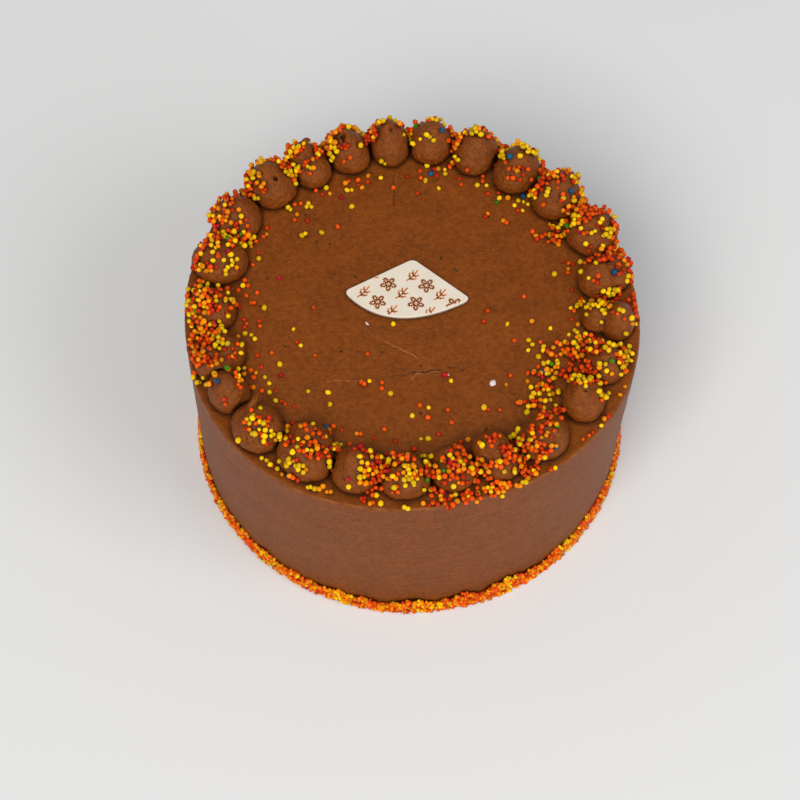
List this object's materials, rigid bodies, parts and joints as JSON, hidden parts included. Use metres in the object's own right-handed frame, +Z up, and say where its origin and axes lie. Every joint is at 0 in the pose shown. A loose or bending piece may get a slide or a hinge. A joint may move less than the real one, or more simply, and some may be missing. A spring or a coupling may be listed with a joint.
{
  "type": "birthday cake",
  "caption": "Round chocolate buttercream birthday cake with a ring of piped dollops, a thin white plaque and sugar beads on top and round the foot.",
  "frame": {"origin": "centre of the underside, on the surface that the cake rests on", "axes": "+Z up through the middle of the cake, +Y towards the back as pictured, +X to the right"},
  "size_m": [0.1626, 0.1627, 0.0926],
  "materials": {
    "frosting": "smooth chocolate buttercream, spread with a palette knife, faint sheen",
    "piped_frosting": "piped chocolate buttercream, soft and slightly grainy",
    "white_chocolate": "moulded white chocolate with a low satin sheen",
    "sugar_beads": "small dull sugar beads, mostly orange and yellow with a few red, green and blue"
  },
  "bodies": {
    "root": {"cake": "frosting", "dollop_01": "piped_frosting", "dollop_02": "piped_frosting", "dollop_03": "piped_frosting", "dollop_04": "piped_frosting", "dollop_05": "piped_frosting", "dollop_06": "piped_frosting", "dollop_07": "piped_frosting", "dollop_08": "piped_frosting", "dollop_09": "piped_frosting", "dollop_10": "piped_frosting", "dollop_11": "piped_frosting", "dollop_12": "piped_frosting", "dollop_13": "piped_frosting", "dollop_14": "piped_frosting", "dollop_15": "piped_frosting", "dollop_16": "piped_frosting", "dollop_17": "piped_frosting", "dollop_18": "piped_frosting", "dollop_19": "piped_frosting", "dollop_20": "piped_frosting", "dollop_21": "piped_frosting", "dollop_22": "piped_frosting", "dollop_23": "piped_frosting", "dollop_24": "piped_frosting", "dollop_25": "piped_frosting", "plaque": "white_chocolate", "sprinkle_band": "sugar_beads"}
  },
  "joints": []
}
